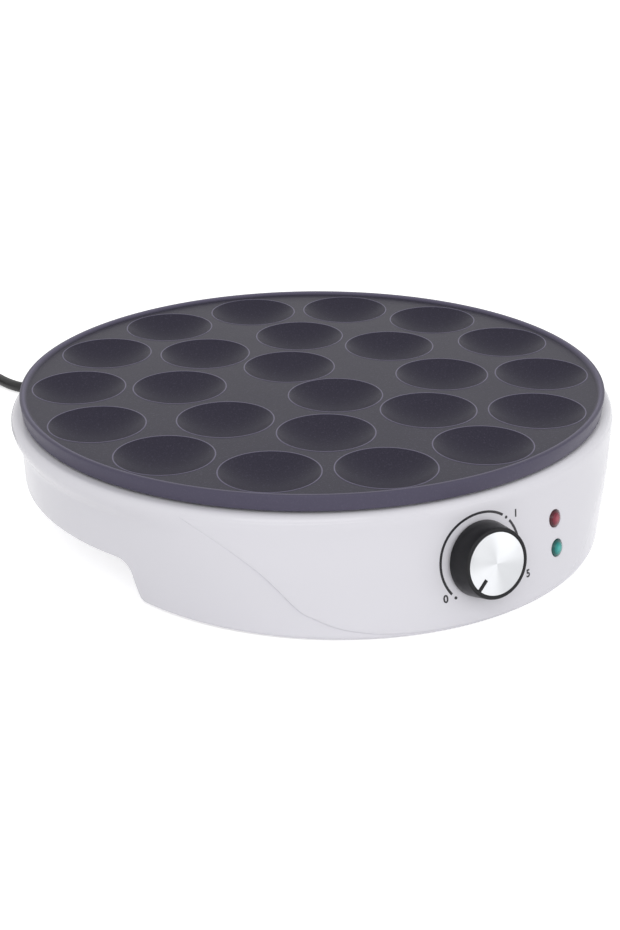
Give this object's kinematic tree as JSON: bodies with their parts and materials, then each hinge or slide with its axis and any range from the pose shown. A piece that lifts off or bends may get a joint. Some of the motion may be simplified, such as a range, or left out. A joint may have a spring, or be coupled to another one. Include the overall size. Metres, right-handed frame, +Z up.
{
  "type": "mini pancake maker",
  "caption": "Round countertop maker for mini pancakes: dark non-stick plate with shallow hollows on a white lobed body, with a control knob, two lamps and a mains cord.",
  "frame": {"origin": "on the table under the middle of the round plate", "axes": "+Z up, -Y out of the front where the knob is, +X to the right as seen from the front"},
  "size_m": [0.3437, 0.5121, 0.07],
  "materials": {
    "white_gloss_plastic": "glossy moulded",
    "non_stick_coating": "dark non-stick coating, satin with a fine speckle",
    "black_plastic": "glossy black moulded",
    "spun_aluminium": "spun, with circular brushing",
    "zinc_plated_steel": "zinc plated",
    "stamped_zinc": "plain stamped sheet",
    "brass": "plain",
    "copper": "plain copper",
    "steatite": "unglazed ceramic",
    "black_rubber": "matte",
    "red_lens": "clear moulded, red",
    "green_lens": "clear moulded, green",
    "lamp_glass": "clear",
    "natural_nylon": "natural moulded",
    "black_cord": "satin",
    "blue_wire": "satin insulation",
    "brown_wire": "satin insulation"
  },
  "bodies": {
    "base": {"base_cover": "white_gloss_plastic", "base_screw_1": "zinc_plated_steel", "base_screw_2": "zinc_plated_steel", "base_screw_3": "zinc_plated_steel", "base_screw_4": "zinc_plated_steel", "bellows": "brass", "bulb_clip": "zinc_plated_steel", "capillary_tube": "copper", "clamp_screw_1": "zinc_plated_steel", "clamp_screw_2": "zinc_plated_steel", "clamp_screw_3": "zinc_plated_steel", "coil_tie": "black_cord", "cooking_plate": "non_stick_coating", "cord_clamp": "natural_nylon", "cord_clamp_screw_1": "zinc_plated_steel", "cord_clamp_screw_2": "zinc_plated_steel", "cord_coil": "black_cord", "element_clamp_1": "zinc_plated_steel", "element_clamp_2": "zinc_plated_steel", "element_clamp_3": "zinc_plated_steel", "element_terminal_1": "steatite", "element_terminal_2": "steatite", "foot_1": "black_rubber", "foot_2": "black_rubber", "foot_3": "black_rubber", "foot_4": "black_rubber", "heating_element": "zinc_plated_steel", "housing": "white_gloss_plastic", "lamp_socket_1": "natural_nylon", "lamp_socket_2": "natural_nylon", "lamp_wire": "brown_wire", "live_wire": "brown_wire", "mains_cord": "black_cord", "neon_lamp_1": "lamp_glass", "neon_lamp_2": "lamp_glass", "neutral_wire": "blue_wire", "plate_screw_1": "zinc_plated_steel", "plate_screw_2": "zinc_plated_steel", "plate_screw_3": "zinc_plated_steel", "plate_screw_4": "zinc_plated_steel", "plug_body": "black_cord", "plug_pin_1": "zinc_plated_steel", "plug_pin_2": "zinc_plated_steel", "power_lens": "red_lens", "ready_lens": "green_lens", "reflector_pan": "zinc_plated_steel", "sensor_bulb": "copper", "strain_relief": "black_cord", "supply_lead": "black_cord", "switched_wire": "brown_wire", "terminal_block": "natural_nylon", "thermal_fuse": "spun_aluminium", "thermostat_base": "steatite", "thermostat_case": "stamped_zinc", "thermostat_screw_1": "zinc_plated_steel", "thermostat_screw_2": "zinc_plated_steel"},
    "knob": {"knob": "black_plastic", "knob_cap": "spun_aluminium", "spindle": "zinc_plated_steel"},
    "lever": {"contact_lever": "zinc_plated_steel"}
  },
  "joints": [
    {"name": "knob_turn", "type": "hinge", "parent": "base", "child": "knob", "pos_m": [0.00134, -0.15406, 0.0312], "axis": [-0.0086, 0.9852, -0.1713], "range_deg": [0, 270]},
    {"name": "lever_turn", "type": "hinge", "parent": "base", "child": "lever", "pos_m": [-0.01226, -0.14265, 0.0292], "axis": [-0.0015, 0.1713, 0.9852], "range_deg": [0, 2.63]}
  ],
  "couplings": [
    {"joint": "lever_turn", "follows": "knob_turn", "ratio": 0.0097311}
  ]
}
